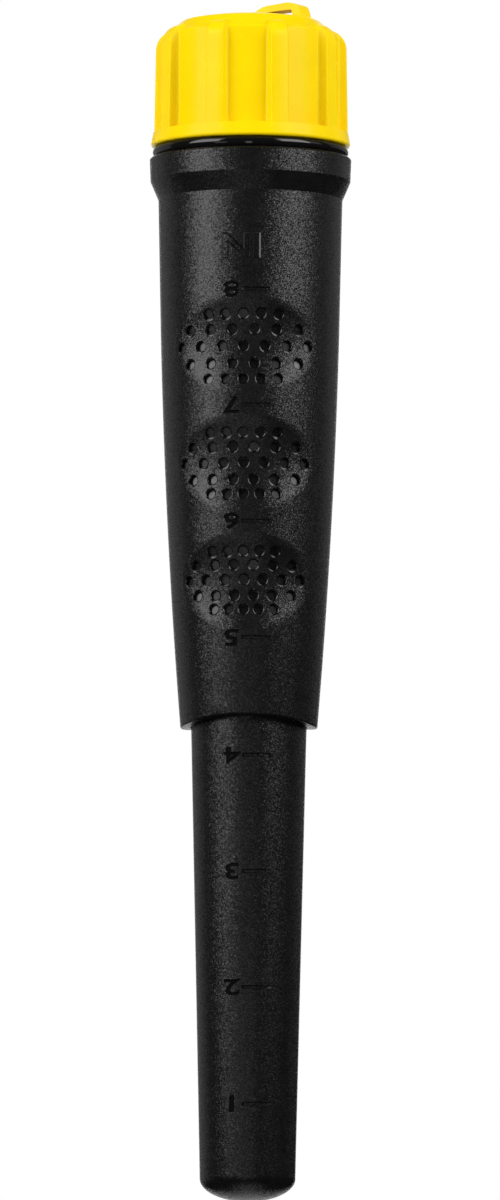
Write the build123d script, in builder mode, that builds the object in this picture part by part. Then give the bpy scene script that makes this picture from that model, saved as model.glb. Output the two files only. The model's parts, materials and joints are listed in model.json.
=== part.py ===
from build123d import *
import os
from math import cos, hypot, radians, sin, sqrt

# Hand-held metal-detector pinpointer, standing tip down on its long axis.
# The origin is the tip of the probe, +Z runs to the battery cap, and the
# ruler side with the dished grips faces -Y. Millimetres.

# Fits and gaps
bond_gap = 0.05          # glued or pressed seat, per side
slip_gap = 0.25          # piece that slides in by hand, per side
running_gap = 0.05       # turning shaft in its bore, per side
motion_gap = 0.3         # between pieces that move past each other

# Battery block, which sets the width of the bay and the height of the cap
battery_width = 26.5
battery_depth = 17.5
battery_height = 46.5
battery_corner = 2.5
terminal_pitch = 12.7
post_radius = 2.85
socket_terminal_radius = 4.0
terminal_height = 3.0
contact_plate_thickness = 1.6
contact_radius = 3.2
contact_height = 2.1
contact_taper = 30.0     # degrees
cradle_wall = 0.6        # round the block's corners
pad_thickness = 3.8
pad_inset = 2.5
wire_radius = 0.6
wire_spread = 3.0
wire_gap = 0.5           # lower wire ends above the buzzer

# Probe
probe_length = 103.8     # tip to the flanks of the step
tip_radius = 10.45
tip_height = 5.0
probe_top_radius = 12.65
probe_wall = 2.0
socket_depth = 8.2       # probe tube inside the handle, above the step

# Handle walls, outside the socket, the bay and the mouth
foot_wall = 2.3
belly_wall = 3.58
neck_wall = 1.72
collar_wall = 3.65
socket_ledge = 0.7       # stops the probe tube
bulkhead_ledge = 1.0     # carries the bulkhead

# Handle outline
handle_length = 125.8    # flanks of the step to the collar top
step_arch = 1.9          # ruler and button sides of the step above its flanks
belly_drop = 37.9        # heights below the collar top
neck_drop = 9.3
mouth_depth = 10.4
bay_depth = 35.6
collar_height = 5.2
collar_edge = 0.4
collar_draft = 0.18      # collar's lower edge inside its top
handle_bulge = 0.63      # outward bow of the lower handle
foot_round = 0.35        # outer edge of the step
seam_round = 0.3         # inner edge of the step, round the probe

# Dished grips and their blind holes
grip_count = 3
grip_drop = 43.0         # first grip's centre below the collar top
grip_pitch = 26.1
grip_depth = 1.5
grip_half_angle = 50.0   # degrees round the handle
grip_half_height = 10.0
grip_round = 6.0         # soft edge of each dish
grip_hole_radius = 1.1
grip_hole_depth = 0.9
grip_row_pitch = 3.55
grip_rows = ((5, 3.86), (6, 4.65), (7, 4.45), (6, 4.65), (5, 3.86))  # holes in a row and their pitch

# Power button, on the side away from the ruler
button_drop = 10.5       # below the middle grip
button_radius = 6.2
button_travel = 0.6
button_crown = 0.5
button_proud = 1.0       # keytop above its bezel
flange_radius = 7.6
flange_thickness = 1.0
stem_radius = 2.0
boss_radius = 10.2
boss_proud = 0.9         # boss face above the handle's side
boss_edge = 0.6
boss_depth = 4.9         # boss face to the inner seat of the seal
seal_radius = 8.1
seal_thickness = 1.0
bezel_radius = 8.6
bezel_depth = 1.9
bezel_proud = 0.2

# Lamp window
lamp_rise = 11.0         # above the end of the probe tube
lens_radius = 2.5
lens_flange_radius = 3.3
lens_flange_thickness = 1.0
lens_depth = 4.4         # handle's side to the inner seat of the lens
lens_crown = 0.6
led_radius = 1.5
led_height = 5.2

# Circuit board and what stands on it
board_width = 17.0
board_thickness = 1.6
board_front = 2.8        # button side of the board, from the axis
board_bottom_gap = 6.0   # above the end of the probe tube
board_top_gap = 7.0      # below the bulkhead
board_corner = 1.0
screw_radius = 1.0
screw_head_radius = 2.0
screw_head_height = 1.2
screw_spread = 11.0      # between the two screws of a row
screw_inset = 2.6        # from the board's ends
switch_size = 6.0
switch_height = 3.5
plunger_radius = 1.7
plunger_seat = 1.2       # plunger inside the switch
plunger_reach = 1.9      # plunger above the switch
chip_size = 7.0
chip_height = 1.0
amplifier_width = 5.0
amplifier_length = 4.0
amplifier_height = 1.5
capacitor_radius = 2.5
capacitor_length = 7.0
capacitor_gap = 6.5      # above the motor's shaft
buzzer_radius = 6.0
buzzer_height = 5.0
buzzer_drop = 15.0       # below the board's upper end
buzzer_port_radius = 1.0
buzzer_port_depth = 2.0

# Chassis that carries the board
rail_grip = 0.5          # board's edge inside each rail
rail_width = 1.8
rail_lip = 1.7           # rail in front of the board
rail_skirt = 1.0         # rail behind the cross bars
foot_ring_width = 2.7
foot_ring_height = 3.0
bar_depth = 2.7
bar_height = 5.0
bulkhead_thickness = 2.5

# Vibration motor behind the board
motor_radius = 3.0
motor_length = 10.0
motor_rise = 20.0        # above the board's lower end
motor_clip_height = 4.0
motor_clip_back = 1.6
shaft_radius = 0.5
shaft_reach = 7.0        # shaft above the motor
shaft_seat = 2.0         # shaft inside the motor
weight_radius = 2.6
weight_hub = 1.2
weight_length = 4.5
weight_rise = 1.5

# Search coil in the probe
core_radius = 4.0
core_shift = 2.0         # core set towards the tip from the bobbin's ends
bobbin_wall = 1.1
bobbin_start = 9.0
bobbin_end_gap = 9.8     # below the step
bobbin_flange = 1.5
coil_radius = 7.2
lead_radius = 0.4
lead_count = 4
lead_pitch = 1.6
lead_foot = 6.2          # lower lead ends, from the axis
lead_overlap = 1.8       # leads beside the board's lower end

# Seal ring
ring_section = 2.4
ring_inset = 0.6         # inside the collar's side

# Battery cap: a plain drum with proud ribs that bend over its shoulder
plug_wall = 2.2
rim_inset = 0.27         # inside the collar's side
rim_height = 3.0
rim_edge = 0.6
rim_round = 0.4
drum_wall = 2.97         # round the hollow
drum_ceiling_rise = 2.9  # top of the drum above the cap's ceiling
drum_round = 0.9
dome_inset = 2.8         # rim of the dome inside the top of the drum
dome_height = 2.75       # rim of the dome above the top of the drum
dome_rise = 1.7
dome_round = 1.5
rib_count = 9
rib_width = 3.9
rib_inset = 0.46         # inside the rim's side
rib_draft = 0.31         # lost in radius up to the bend
rib_bend_drop = 5.0      # bend below the top of the drum
rib_end_rise = 1.0       # rib ends above the top of the drum
rib_end_inset = 0.5      # rib ends inside the top of the drum
rib_edge = 0.6
rib_root = 0.8           # fillet between a rib and the drum
cap_clock = 2.0          # degrees the closed cap stands turned from the ruler

# Lanyard fin on the dome
fin_rib = 1              # ribs between the front of the cap and the fin
fin_thickness = 4.4
fin_start = 2.0          # inner end, from the cap's axis
fin_corner_inset = 1.7   # corner inside the rim of the dome
fin_end_inset = 0.8      # outer end inside the rim of the dome
fin_start_rise = 1.5     # above the top of the dome
fin_corner_rise = 2.25
fin_root = 1.5           # below the rim of the dome
fin_start_round = 2.6
fin_corner_round = 3.2
fin_edge = 0.8
eye_radius = 0.65
eye_place = 11.3         # from the cap's axis
eye_cover = 1.5          # plastic left above the eye

# Radii, from the battery and the probe outwards
battery_reach = hypot(battery_width / 2 - battery_corner, battery_depth / 2 - battery_corner) + battery_corner
bay_radius = battery_reach + slip_gap + cradle_wall + slip_gap
plug_radius = bay_radius + plug_wall
mouth_radius = plug_radius + slip_gap
socket_radius = probe_top_radius + bond_gap
cavity_foot_radius = socket_radius - socket_ledge
cavity_top_radius = bay_radius - bulkhead_ledge
foot_radius = socket_radius + foot_wall
belly_radius = bay_radius + belly_wall
neck_radius = mouth_radius + neck_wall
collar_radius = mouth_radius + collar_wall
ring_radius = collar_radius - ring_inset - ring_section / 2
rim_radius = collar_radius - rim_inset
rib_foot_radius = rim_radius - rib_inset
rib_bend_radius = rib_foot_radius - rib_draft
drum_radius = bay_radius + drum_wall
drum_top_radius = drum_radius - drum_round
rib_end_radius = drum_top_radius - rib_end_inset
dome_radius = drum_top_radius - dome_inset
bobbin_tube_radius = core_radius + bond_gap + bobbin_wall
keyhole_radius = button_radius + motion_gap

# Levels along the axis
step_z = probe_length
probe_end_z = step_z + socket_depth
collar_top_z = step_z + handle_length
belly_z = collar_top_z - belly_drop
neck_z = collar_top_z - neck_drop
collar_low_z = collar_top_z - collar_height
mouth_floor_z = collar_top_z - mouth_depth
ledge_z = collar_top_z - bay_depth
bulkhead_top_z = ledge_z + bulkhead_thickness
cradle_top_z = mouth_floor_z - motion_gap
plug_low_z = mouth_floor_z + motion_gap
terminal_low_z = bulkhead_top_z + contact_plate_thickness + contact_height + motion_gap
battery_low_z = terminal_low_z + terminal_height
battery_top_z = battery_low_z + battery_height
ceiling_z = battery_top_z + motion_gap + pad_thickness
ring_z = collar_top_z + bond_gap + ring_section / 2
rim_low_z = ring_z + ring_section / 2 + bond_gap
rim_top_z = rim_low_z + rim_height
drum_top_z = ceiling_z + drum_ceiling_rise
rib_bend_z = drum_top_z - rib_bend_drop
rib_end_z = drum_top_z + rib_end_rise
dome_z = drum_top_z + dome_height
dome_top_z = dome_z + dome_rise
grip_levels = [collar_top_z - grip_drop - index * grip_pitch for index in range(grip_count)]
button_z = grip_levels[grip_count // 2] - button_drop
lamp_z = probe_end_z + lamp_rise
board_bottom_z = probe_end_z + board_bottom_gap
board_top_z = ledge_z - board_top_gap
board_length = board_top_z - board_bottom_z
board_middle_z = (board_bottom_z + board_top_z) / 2
screw_rows_z = (board_bottom_z + screw_inset, board_top_z - screw_inset)
buzzer_z = board_top_z - buzzer_drop
chip_z = (lamp_z + button_z) / 2
amplifier_z = (button_z + switch_size / 2 + buzzer_z - buzzer_radius) / 2
wire_end_z = buzzer_z + buzzer_radius + wire_gap
motor_low_z = board_bottom_z + motor_rise
motor_top_z = motor_low_z + motor_length
capacitor_low_z = motor_top_z + shaft_reach + capacitor_gap
bobbin_end_z = step_z - bobbin_end_gap
bobbin_middle_z = (bobbin_start + bobbin_end_z) / 2
flange_levels = (bobbin_start, bobbin_middle_z - bobbin_flange / 2, bobbin_end_z - bobbin_flange)
winding_length = flange_levels[1] - flange_levels[0] - bobbin_flange - 2 * bond_gap

# Places across the axis
board_back = board_front - board_thickness
switch_top = board_front + switch_height
plunger_tip = switch_top + plunger_reach
plunger_room = button_travel + motion_gap
stem_tip = plunger_tip + motion_gap
motor_axis_y = board_back - motor_radius - slip_gap
wire_y = board_front + slip_gap + wire_radius
lead_y = board_front + slip_gap + lead_radius
rail_inner = board_width / 2 - rail_grip
rail_outer = rail_inner + rail_width
rail_front = board_front + rail_lip
bar_back = board_back - bar_depth
rail_back = bar_back - rail_skirt
clip_back = motor_axis_y - motor_radius - motor_clip_back
screw_places = [(side * screw_spread / 2, z) for z in screw_rows_z for side in (-1, 1)]
wire_places = [(side * wire_spread / 2, wire_y) for side in (-1, 1)]
fin_corner = dome_radius - fin_corner_inset
fin_end = dome_radius - fin_end_inset
first_rib_angle = cap_clock + 180 / rib_count
fin_angle = first_rib_angle + 360 / rib_count * fin_rib
fin_along = Vector(sin(radians(fin_angle)), -cos(radians(fin_angle)), 0)
fin_across = Vector(-fin_along.Y, fin_along.X, 0)

os.makedirs("parts", exist_ok=True)


def probe_inner_radius(z):
    """Radius of the probe tube's bore at a height."""
    taper = (probe_top_radius - tip_radius) / (probe_length - tip_height)
    return tip_radius - probe_wall + taper * (z - tip_height)


def handle_radius(z):
    """Outer radius of the bowed lower handle at a height."""
    share = (z - step_z) / (belly_z - step_z)
    return foot_radius + (belly_radius - foot_radius) * share + 4 * handle_bulge * share * (1 - share)


def handle_slope(z):
    """Growth of the handle's radius with height."""
    rise = belly_z - step_z
    share = (z - step_z) / rise
    return (belly_radius - foot_radius + 4 * handle_bulge * (1 - 2 * share)) / rise


def side_plane(y, z):
    """Sketch plane square to the Y axis that faces the button side."""
    return Plane(origin=(0, y, z), x_dir=(-1, 0, 0), z_dir=(0, 1, 0))


def save(part, name):
    """Label a finished piece and write its file."""
    part.label = name
    export_step(part, f"parts/{name}.step")


# Faces of the button and the lamp, from the handle's side
boss_face = handle_radius(button_z) + boss_proud
seat_face = boss_face - boss_depth
bezel_seat = boss_face - bezel_depth
keytop_face = boss_face + bezel_proud + button_proud
flange_face = seat_face - seal_thickness - motion_gap
lens_face = handle_radius(lamp_z)
lens_seat = lens_face - lens_depth

# Probe tube: tapered shell with a domed tip, and a straight end for the handle's socket
with BuildPart() as probe_tube:
    with BuildSketch(Plane.XZ):
        with BuildLine():
            EllipticalCenterArc((0, tip_height), tip_radius, tip_height, 270, arc_size=90)
            Line((tip_radius, tip_height), (probe_top_radius, step_z))
            Line((probe_top_radius, step_z), (probe_top_radius, probe_end_z))
            Line((probe_top_radius, probe_end_z), (0, probe_end_z))
            Line((0, probe_end_z), (0, 0))
        make_face()
    revolve(axis=Axis.Z)
    with BuildSketch(Plane.XZ):
        with BuildLine():
            EllipticalCenterArc(
                (0, tip_height), tip_radius - probe_wall, tip_height - probe_wall, 270, arc_size=90
            )
            Line((tip_radius - probe_wall, tip_height), (probe_inner_radius(step_z), step_z))
            Line((probe_inner_radius(step_z), step_z), (probe_inner_radius(step_z), probe_end_z))
            Line((probe_inner_radius(step_z), probe_end_z), (0, probe_end_z))
            Line((0, probe_end_z), (0, probe_wall))
        make_face()
    revolve(axis=Axis.Z, mode=Mode.SUBTRACT)
save(probe_tube.part, "probe_tube")

# Handle housing: bowed shell with a collar, arched step, three dished grips and the button boss
step_curve = (foot_radius**2 + step_arch**2) / (2 * step_arch)
with BuildPart() as handle_housing:
    with BuildSketch(Plane.XZ):
        with BuildLine():
            bow = ThreePointArc(
                (foot_radius, step_z),
                (handle_radius((step_z + belly_z) / 2), (step_z + belly_z) / 2),
                (belly_radius, belly_z),
            )
            foot = Line(bow @ 0, bow @ 0 - (bow % 0) * step_arch)
            Polyline(
                (belly_radius, belly_z),
                (neck_radius, neck_z),
                (collar_radius - collar_draft, collar_low_z),
                (collar_radius, collar_top_z - collar_edge),
                (collar_radius - collar_edge, collar_top_z),
                (0, collar_top_z),
                (0, (foot @ 1).Y),
                foot @ 1,
            )
        make_face()
    revolve(axis=Axis.Z)
    # The step is arched round an axis that runs from flank to flank
    with BuildSketch(Plane.YZ):
        with Locations((0, step_z)):
            Rectangle(2 * belly_radius, 4 * step_arch)
        with Locations((0, step_z + step_curve)):
            Circle(step_curve, mode=Mode.SUBTRACT)
    extrude(amount=belly_radius, both=True, mode=Mode.SUBTRACT)
    fillet(handle_housing.faces().sort_by(Axis.Z)[0].edges(), foot_round)
    # Flat round boss for the button
    with BuildSketch(Plane.XY.offset(button_z)):
        with BuildLine():
            Polyline(
                (0, 0),
                (boss_radius, 0),
                (boss_radius, boss_face - boss_edge),
                (boss_radius - boss_edge, boss_face),
                (0, boss_face),
                close=True,
            )
        make_face()
    revolve(axis=Axis((0, 0, button_z), (0, 1, 0)))
    # Socket, tapered cavity, battery bay and mouth
    with BuildSketch(Plane.XZ):
        with BuildLine():
            Polyline(
                (0, 0),
                (socket_radius, 0),
                (socket_radius, probe_end_z),
                (cavity_foot_radius, probe_end_z),
                (cavity_top_radius, ledge_z),
                (bay_radius, ledge_z),
                (bay_radius, mouth_floor_z),
                (mouth_radius, mouth_floor_z),
                (mouth_radius, collar_top_z),
                (0, collar_top_z),
                close=True,
            )
        make_face()
    revolve(axis=Axis.Z, mode=Mode.SUBTRACT)
    fillet(handle_housing.faces().sort_by(Axis.Z)[0].inner_wires().edges(), seam_round)
    # Each grip is dished by a ring whose axis leans with the handle's side
    for grip_z in grip_levels:
        radius = handle_radius(grip_z)
        floor = radius - grip_depth
        edge_share = cos(radians(grip_half_angle))
        dish_offset = (radius**2 - floor**2) / (2 * (floor - radius * edge_share))
        dish_inner = dish_offset + floor
        dish_section = (grip_half_height**2 + grip_depth**2) / (2 * grip_depth)
        lean = handle_slope(grip_z)
        dish_plane = Plane(
            origin=(0, dish_offset, grip_z + lean * dish_inner),
            x_dir=(1, 0, 0),
            z_dir=(0, -lean, 1),
        )
        with Locations(dish_plane):
            Torus(dish_inner + dish_section, dish_section, mode=Mode.SUBTRACT)
        fillet(handle_housing.edges(Select.LAST).filter_by(GeomType.BSPLINE), grip_round)
        # The holes stand square to the dish
        holes = []
        for row, (count, pitch) in enumerate(grip_rows):
            rise = (len(grip_rows) // 2 - row) * grip_row_pitch
            row_pitch = pitch * radius / belly_radius
            ring = dish_inner + dish_section - sqrt(dish_section**2 - rise**2)
            for column in range(count):
                x = (column - (count - 1) / 2) * row_pitch
                spot = Vector(x, -sqrt(ring**2 - x**2), rise)
                outward = Vector(spot.X, spot.Y, 0) * ((dish_inner + dish_section) / ring) - spot
                hole_floor = spot - outward.normalized() * grip_hole_depth
                holes.append(Plane(origin=hole_floor, z_dir=outward).location)
        with Locations(dish_plane):
            with Locations(*holes):
                Cylinder(
                    grip_hole_radius,
                    belly_radius,
                    align=(Align.CENTER, Align.CENTER, Align.MIN),
                    mode=Mode.SUBTRACT,
                )
    # Button bore, its inner seat and the bezel's counterbore
    with BuildSketch(side_plane(0, button_z)):
        Circle(seal_radius + bond_gap)
    extrude(amount=seat_face, mode=Mode.SUBTRACT)
    with BuildSketch(side_plane(0, button_z)):
        Circle(keyhole_radius)
    extrude(amount=boss_face, mode=Mode.SUBTRACT)
    with BuildSketch(side_plane(bezel_seat, button_z)):
        Circle(bezel_radius + bond_gap)
    extrude(amount=bezel_depth, mode=Mode.SUBTRACT)
    # Lamp window and its inner seat
    with BuildSketch(side_plane(0, lamp_z)):
        Circle(lens_flange_radius + slip_gap)
    extrude(amount=lens_seat, mode=Mode.SUBTRACT)
    with BuildSketch(side_plane(0, lamp_z)):
        Circle(lens_radius + bond_gap)
    extrude(amount=collar_radius, mode=Mode.SUBTRACT)
save(handle_housing.part, "handle_housing")

# Bezel ring pressed into the boss
with BuildPart() as button_bezel:
    with BuildSketch(side_plane(bezel_seat, button_z)):
        Circle(bezel_radius)
        Circle(keyhole_radius, mode=Mode.SUBTRACT)
    extrude(amount=bezel_depth + bezel_proud)
    chamfer(button_bezel.faces().sort_by(Axis.Y)[-1].edges(), bezel_proud)
save(button_bezel.part, "button_bezel")

# Rubber washer that seals the button from inside
with BuildPart() as button_seal:
    with BuildSketch(side_plane(seat_face - seal_thickness, button_z)):
        Circle(seal_radius)
        Circle(keyhole_radius, mode=Mode.SUBTRACT)
    extrude(amount=seal_thickness)
save(button_seal.part, "button_seal")

# Power button: crowned keytop, flange that stops on the washer, and stem
with BuildPart() as power_button:
    with BuildSketch(Plane.XY.offset(button_z)):
        with BuildLine():
            Polyline(
                (0, keytop_face),
                (0, stem_tip),
                (stem_radius, stem_tip),
                (stem_radius, flange_face - flange_thickness),
                (flange_radius, flange_face - flange_thickness),
                (flange_radius, flange_face),
                (button_radius, flange_face),
                (button_radius, keytop_face - button_crown),
            )
            RadiusArc(
                (0, keytop_face),
                (button_radius, keytop_face - button_crown),
                (button_radius**2 + button_crown**2) / (2 * button_crown),
            )
        make_face()
    revolve(axis=Axis((0, 0, button_z), (0, 1, 0)))
save(power_button.part, "power_button")

# Switch body and its plunger
with BuildPart() as tact_switch:
    with BuildSketch(side_plane(board_front, button_z)):
        Rectangle(switch_size, switch_size)
    extrude(amount=switch_height)
    with BuildSketch(side_plane(switch_top, button_z)):
        Circle(plunger_radius + running_gap)
    extrude(amount=-(plunger_seat + plunger_room), mode=Mode.SUBTRACT)
save(tact_switch.part, "tact_switch")

with BuildPart() as switch_plunger:
    with BuildSketch(side_plane(switch_top - plunger_seat, button_z)):
        Circle(plunger_radius)
    extrude(amount=plunger_seat + plunger_reach)
save(switch_plunger.part, "switch_plunger")

# Lamp and its window
with BuildPart() as led:
    with BuildSketch(Plane.XY.offset(lamp_z)):
        with BuildLine():
            Polyline(
                (0, board_front + led_height),
                (0, board_front),
                (led_radius, board_front),
                (led_radius, board_front + led_height - led_radius),
            )
            RadiusArc(
                (0, board_front + led_height),
                (led_radius, board_front + led_height - led_radius),
                led_radius,
            )
        make_face()
    revolve(axis=Axis((0, 0, lamp_z), (0, 1, 0)))
save(led.part, "led")

with BuildPart() as led_lens:
    with BuildSketch(Plane.XY.offset(lamp_z)):
        with BuildLine():
            Polyline(
                (0, lens_face),
                (0, lens_seat - lens_flange_thickness),
                (lens_flange_radius, lens_seat - lens_flange_thickness),
                (lens_flange_radius, lens_seat),
                (lens_radius, lens_seat),
                (lens_radius, lens_face - lens_crown),
            )
            RadiusArc(
                (0, lens_face),
                (lens_radius, lens_face - lens_crown),
                (lens_radius**2 + lens_crown**2) / (2 * lens_crown),
            )
        make_face()
    revolve(axis=Axis((0, 0, lamp_z), (0, 1, 0)))
save(led_lens.part, "led_lens")

# Circuit board with its four screw holes
with BuildPart() as circuit_board:
    with BuildSketch(side_plane(board_back, 0)):
        with Locations((0, board_middle_z)):
            RectangleRounded(board_width, board_length, board_corner)
        with Locations(*screw_places):
            Circle(screw_radius + slip_gap, mode=Mode.SUBTRACT)
    extrude(amount=board_thickness)
save(circuit_board.part, "circuit_board")

with BuildPart() as board_screws:
    with BuildSketch(side_plane(bar_back, 0)):
        with Locations(*screw_places):
            Circle(screw_radius)
    extrude(amount=bar_depth + board_thickness)
    with BuildSketch(side_plane(board_front, 0)):
        with Locations(*screw_places):
            Circle(screw_head_radius)
    extrude(amount=screw_head_height)
save(board_screws.part, "board_screws")

# Processor and amplifier on the front of the board, capacitor on its back
with BuildPart() as board_components:
    with BuildSketch(side_plane(board_front, chip_z)):
        Rectangle(chip_size, chip_size)
    extrude(amount=chip_height)
    with BuildSketch(side_plane(board_front, amplifier_z)):
        Rectangle(amplifier_width, amplifier_length)
    extrude(amount=amplifier_height)
    with BuildSketch(Plane.XY.offset(capacitor_low_z)):
        with Locations((0, board_back - capacitor_radius)):
            Circle(capacitor_radius)
    extrude(amount=capacitor_length)
save(board_components.part, "board_components")

with BuildPart() as piezo_buzzer:
    with BuildSketch(side_plane(board_front, buzzer_z)):
        Circle(buzzer_radius)
    extrude(amount=buzzer_height)
    with BuildSketch(side_plane(board_front + buzzer_height, buzzer_z)):
        Circle(buzzer_port_radius)
    extrude(amount=-buzzer_port_depth, mode=Mode.SUBTRACT)
save(piezo_buzzer.part, "piezo_buzzer")

# Chassis: foot ring on the probe's end, two grooved rails, cross bars, motor clip and bulkhead
rail_middle = Vector((rail_inner + rail_outer) / 2, (rail_front + rail_back) / 2)
with BuildPart() as board_chassis:
    with BuildSketch(Plane.XY.offset(probe_end_z)):
        Circle(cavity_foot_radius - motion_gap)
        Circle(cavity_foot_radius - motion_gap - foot_ring_width, mode=Mode.SUBTRACT)
    extrude(amount=foot_ring_height)
    with BuildSketch(Plane.XY.offset(ledge_z)):
        Circle(bay_radius - slip_gap)
        with Locations(*wire_places):
            Circle(wire_radius + slip_gap, mode=Mode.SUBTRACT)
    extrude(amount=bulkhead_thickness)
    with BuildSketch(Plane.XY.offset(probe_end_z)):
        with Locations((-rail_middle.X, rail_middle.Y), (rail_middle.X, rail_middle.Y)):
            Rectangle(rail_width, rail_front - rail_back)
    extrude(amount=ledge_z - probe_end_z)
    with BuildSketch(side_plane(bar_back, 0)):
        for z in screw_rows_z:
            with Locations((0, z)):
                Rectangle(2 * rail_outer, bar_height)
        with Locations(*screw_places):
            Circle(screw_radius + bond_gap, mode=Mode.SUBTRACT)
    extrude(amount=bar_depth)
    with BuildSketch(side_plane(clip_back, (motor_low_z + motor_top_z) / 2)):
        Rectangle(2 * rail_outer, motor_clip_height)
    extrude(amount=motor_axis_y - clip_back)
    with BuildSketch(Plane.XY.offset(motor_low_z)):
        with Locations((0, motor_axis_y)):
            Circle(motor_radius + bond_gap)
    extrude(amount=motor_length, mode=Mode.SUBTRACT)
    with BuildSketch(side_plane(board_back - bond_gap, board_middle_z)):
        Rectangle(board_width + 2 * bond_gap, board_length + 2 * bond_gap)
    extrude(amount=board_thickness + 2 * bond_gap, mode=Mode.SUBTRACT)
save(board_chassis.part, "board_chassis")

# Vibration motor, its shaft and the half-round weight
with BuildPart() as vibration_motor:
    with BuildSketch(Plane.XY.offset(motor_low_z)):
        with Locations((0, motor_axis_y)):
            Circle(motor_radius)
    extrude(amount=motor_length)
    with BuildSketch(Plane.XY.offset(motor_top_z)):
        with Locations((0, motor_axis_y)):
            Circle(shaft_radius + running_gap)
    extrude(amount=-(shaft_seat + motion_gap), mode=Mode.SUBTRACT)
save(vibration_motor.part, "vibration_motor")

with BuildPart() as motor_shaft:
    with BuildSketch(Plane.XY.offset(motor_top_z - shaft_seat)):
        with Locations((0, motor_axis_y)):
            Circle(shaft_radius)
    extrude(amount=shaft_seat + shaft_reach)
save(motor_shaft.part, "motor_shaft")

with BuildPart() as eccentric_weight:
    with BuildSketch(Plane.XY.offset(motor_top_z + weight_rise)):
        with Locations((0, motor_axis_y)):
            Circle(weight_radius)
        with Locations((0, motor_axis_y + weight_radius)):
            Rectangle(4 * weight_radius, 2 * weight_radius, mode=Mode.SUBTRACT)
        with Locations((0, motor_axis_y)):
            Circle(weight_hub)
            Circle(shaft_radius + bond_gap, mode=Mode.SUBTRACT)
    extrude(amount=weight_length)
save(eccentric_weight.part, "eccentric_weight")

# Search coil: ferrite rod, bobbin whose flanges seat in the tube, and two windings
with BuildPart() as ferrite_core:
    with BuildSketch(Plane.XY.offset(bobbin_start - core_shift)):
        Circle(core_radius)
    extrude(amount=bobbin_end_z - bobbin_start)
save(ferrite_core.part, "ferrite_core")

with BuildPart() as coil_bobbin:
    with BuildSketch(Plane.XY.offset(bobbin_start)):
        Circle(bobbin_tube_radius)
    extrude(amount=bobbin_end_z - bobbin_start)
    for z in flange_levels:
        with BuildSketch(Plane.XY.offset(z)):
            Circle(probe_inner_radius(z) - slip_gap)
        extrude(amount=bobbin_flange)
    with BuildSketch(Plane.XY.offset(bobbin_start)):
        Circle(core_radius + bond_gap)
    extrude(amount=bobbin_end_z - bobbin_start, mode=Mode.SUBTRACT)
save(coil_bobbin.part, "coil_bobbin")

with BuildPart() as transmit_coil:
    with BuildSketch(Plane.XY.offset(flange_levels[0] + bobbin_flange + bond_gap)):
        Circle(coil_radius)
        Circle(bobbin_tube_radius + bond_gap, mode=Mode.SUBTRACT)
    extrude(amount=winding_length)
save(transmit_coil.part, "transmit_coil")

with BuildPart() as receive_coil:
    with BuildSketch(Plane.XY.offset(flange_levels[1] + bobbin_flange + bond_gap)):
        Circle(coil_radius)
        Circle(bobbin_tube_radius + bond_gap, mode=Mode.SUBTRACT)
    extrude(amount=winding_length)
save(receive_coil.part, "receive_coil")

# Leads from the coil to the board
lead_start = Vector(0, lead_foot, bobbin_end_z + bond_gap)
lead_end = Vector(0, lead_y, board_bottom_z + lead_overlap)
lead_run = lead_end - lead_start
with BuildPart() as coil_leads:
    with BuildSketch(Plane(origin=lead_start, x_dir=(1, 0, 0), z_dir=lead_run)):
        with GridLocations(lead_pitch, 0, lead_count, 1):
            Circle(lead_radius)
    extrude(amount=lead_run.length)
save(coil_leads.part, "coil_leads")

# Battery bay: contact plate, contacts, leads to the board, and the cradle round the block
with BuildPart() as contact_plate:
    with BuildSketch(Plane.XY.offset(bulkhead_top_z)):
        RectangleRounded(battery_width, battery_depth, battery_corner)
    extrude(amount=contact_plate_thickness)
save(contact_plate.part, "contact_plate")

with BuildPart() as battery_contacts:
    with BuildSketch(Plane.XY.offset(bulkhead_top_z + contact_plate_thickness)):
        with GridLocations(terminal_pitch, 0, 2, 1):
            Circle(contact_radius)
    extrude(amount=contact_height, taper=contact_taper)
save(battery_contacts.part, "battery_contacts")

with BuildPart() as battery_leads:
    with BuildSketch(Plane.XY.offset(wire_end_z)):
        with Locations(*wire_places):
            Circle(wire_radius)
    extrude(amount=bulkhead_top_z - wire_end_z)
save(battery_leads.part, "battery_leads")

with BuildPart() as battery_cradle:
    with BuildSketch(Plane.XY.offset(bulkhead_top_z)):
        Circle(bay_radius - slip_gap)
        RectangleRounded(
            battery_width + 2 * slip_gap,
            battery_depth + 2 * slip_gap,
            battery_corner + slip_gap,
            mode=Mode.SUBTRACT,
        )
    extrude(amount=cradle_top_z - bulkhead_top_z)
save(battery_cradle.part, "battery_cradle")

with BuildPart() as battery_block:
    with BuildSketch(Plane.XY.offset(battery_low_z)):
        RectangleRounded(battery_width, battery_depth, battery_corner)
    extrude(amount=battery_height)
save(battery_block.part, "battery_block")

with BuildPart() as battery_terminals:
    with BuildSketch(Plane.XY.offset(terminal_low_z)):
        with Locations((-terminal_pitch / 2, 0)):
            Circle(post_radius)
        with Locations((terminal_pitch / 2, 0)):
            RegularPolygon(socket_terminal_radius, 6)
            Circle(post_radius, mode=Mode.SUBTRACT)
    extrude(amount=terminal_height)
save(battery_terminals.part, "battery_terminals")

# Seal ring between the collar and the cap
with BuildPart() as cap_o_ring:
    with Locations((0, 0, ring_z)):
        Torus(ring_radius, ring_section / 2)
save(cap_o_ring.part, "cap_o_ring")

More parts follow.
